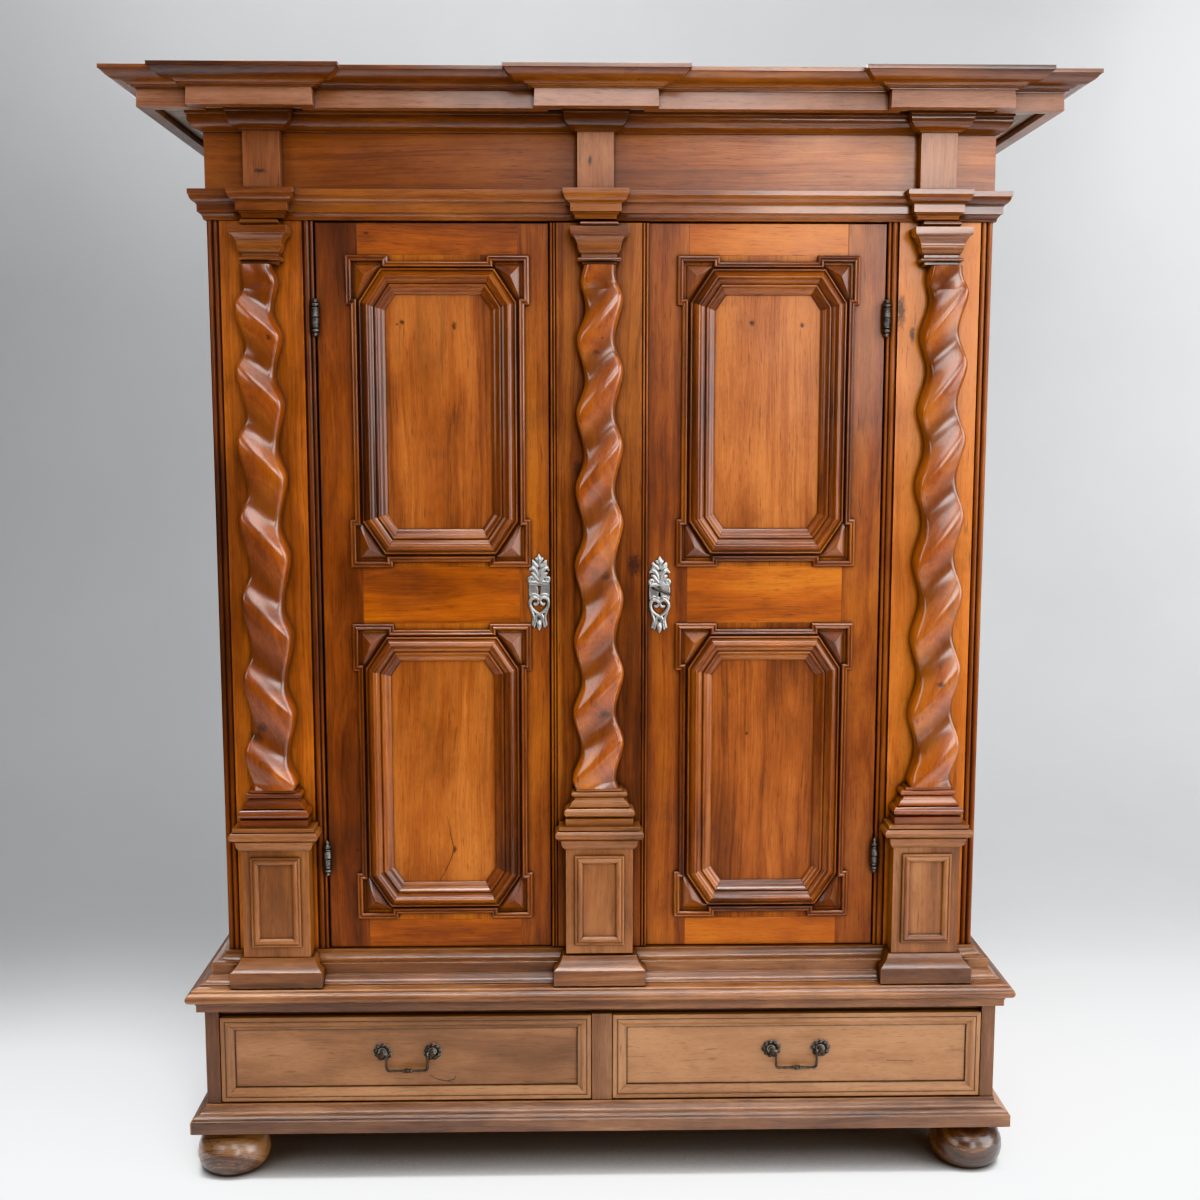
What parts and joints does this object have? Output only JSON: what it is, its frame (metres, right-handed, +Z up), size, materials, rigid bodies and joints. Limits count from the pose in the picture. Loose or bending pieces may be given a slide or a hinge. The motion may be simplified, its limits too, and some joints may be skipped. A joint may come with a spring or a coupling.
{
  "type": "kas cupboard",
  "caption": "Tall wardrobe cupboard on ball feet with panelled doors, twisted half columns, drawers in the base and a deep breaking cornice.",
  "frame": {"origin": "on the floor, at the centre of the outer box seen from above", "axes": "+Z up, -Y towards the front, +X to the viewer's right when facing the front"},
  "size_m": [1.87, 0.74, 2.226],
  "materials": {
    "carcase_wood": "waxed walnut, red-brown",
    "base_wood": "waxed walnut, worn",
    "moulding_wood": "polished walnut, dark",
    "door_wood": "polished walnut veneer",
    "panel_wood": "polished walnut veneer, golden",
    "column_wood": "polished carved walnut",
    "drawer_wood": "waxed walnut, pale and dull",
    "feet_wood": "dark turned wood, satin",
    "inner_wood": "plain sawn and planed wood",
    "iron": "dark wrought iron",
    "pewter": "tinned iron plate"
  },
  "bodies": {
    "carcase": {"bun_feet": "feet_wood", "plinth_moulding": "moulding_wood", "base_case_boards": "base_wood", "drawer_case_frame": "base_wood", "drawer_partition": "inner_wood", "drawer_runners": "inner_wood", "surbase_moulding": "moulding_wood", "base_top_board": "base_wood", "body_sides": "carcase_wood", "front_frame": "carcase_wood", "body_floor_and_top": "carcase_wood", "back_boards": "inner_wood", "shelves": "inner_wood", "shelf_bearers": "inner_wood", "foot_moulding": "moulding_wood", "pedestal_base_blocks": "moulding_wood", "left_column_shaft": "column_wood", "right_column_shaft": "column_wood", "column_capitals": "column_wood", "column_bases": "column_wood", "column_pedestals": "column_wood", "architrave_moulding": "moulding_wood", "frieze_boards": "carcase_wood", "frieze_blocks": "carcase_wood", "bed_moulding": "moulding_wood", "corona_boards": "moulding_wood", "crown_moulding": "moulding_wood", "cornice_boards": "inner_wood", "hinge_pintles": "iron"},
    "left_door": {"left_door_stiles": "door_wood", "left_door_rails": "door_wood", "left_door_panels": "panel_wood", "left_door_mouldings": "moulding_wood", "left_door_hinges": "iron", "left_door_staples": "iron", "left_escutcheon": "pewter"},
    "right_door": {"right_door_stiles": "door_wood", "right_door_rails": "door_wood", "right_door_panels": "panel_wood", "right_door_mouldings": "moulding_wood", "right_door_hinges": "iron", "right_escutcheon": "pewter", "lock_case": "iron", "pilaster_board": "door_wood", "pilaster_backing": "inner_wood", "pilaster_shaft": "column_wood", "pilaster_capital": "column_wood", "pilaster_pedestal": "column_wood"},
    "door_bolt": {"left_door_bolt": "iron"},
    "lock_bolt": {"lock_bolt": "iron"},
    "key": {"key": "iron"},
    "left_drawer": {"left_drawer_front": "drawer_wood", "left_drawer_box": "inner_wood", "left_drawer_handle_plates": "iron"},
    "right_drawer": {"right_drawer_front": "drawer_wood", "right_drawer_box": "inner_wood", "right_drawer_handle_plates": "iron"},
    "left_bail": {"left_drawer_bail": "iron"},
    "right_bail": {"right_drawer_bail": "iron"}
  },
  "joints": [
    {"name": "left_door_hinge", "type": "hinge", "parent": "carcase", "child": "left_door", "pos_m": [-0.5695, -0.198, 1.2], "axis": [0, 0, -1], "range_deg": [0, 105]},
    {"name": "right_door_hinge", "type": "hinge", "parent": "carcase", "child": "right_door", "pos_m": [0.5695, -0.198, 1.2], "axis": [0, 0, 1], "range_deg": [0, 105]},
    {"name": "left_door_bolt_slide", "type": "slide", "parent": "left_door", "child": "door_bolt", "axis": [0, 0, 1], "range_m": [0, 0.015]},
    {"name": "key_turn", "type": "hinge", "parent": "right_door", "child": "key", "pos_m": [0.118, -0.19, 1.234], "axis": [0, -1, 0], "range_deg": [0, 150]},
    {"name": "lock_bolt_slide", "type": "slide", "parent": "right_door", "child": "lock_bolt", "axis": [-1, 0, 0], "range_m": [0, 0.0178]},
    {"name": "left_drawer_slide", "type": "slide", "parent": "carcase", "child": "left_drawer", "axis": [0, -1, 0], "range_m": [0, 0.38]},
    {"name": "right_drawer_slide", "type": "slide", "parent": "carcase", "child": "right_drawer", "axis": [0, -1, 0], "range_m": [0, 0.38]},
    {"name": "left_bail_swing", "type": "hinge", "parent": "left_drawer", "child": "left_bail", "pos_m": [-0.407, -0.2385, 0.264], "axis": [-1, 0, 0], "range_deg": [0, 85]},
    {"name": "right_bail_swing", "type": "hinge", "parent": "right_drawer", "child": "right_bail", "pos_m": [0.407, -0.2385, 0.264], "axis": [-1, 0, 0], "range_deg": [0, 85]}
  ],
  "couplings": [
    {"joint": "key_turn", "follows": "lock_bolt_slide", "rad_per_m": 147}
  ]
}
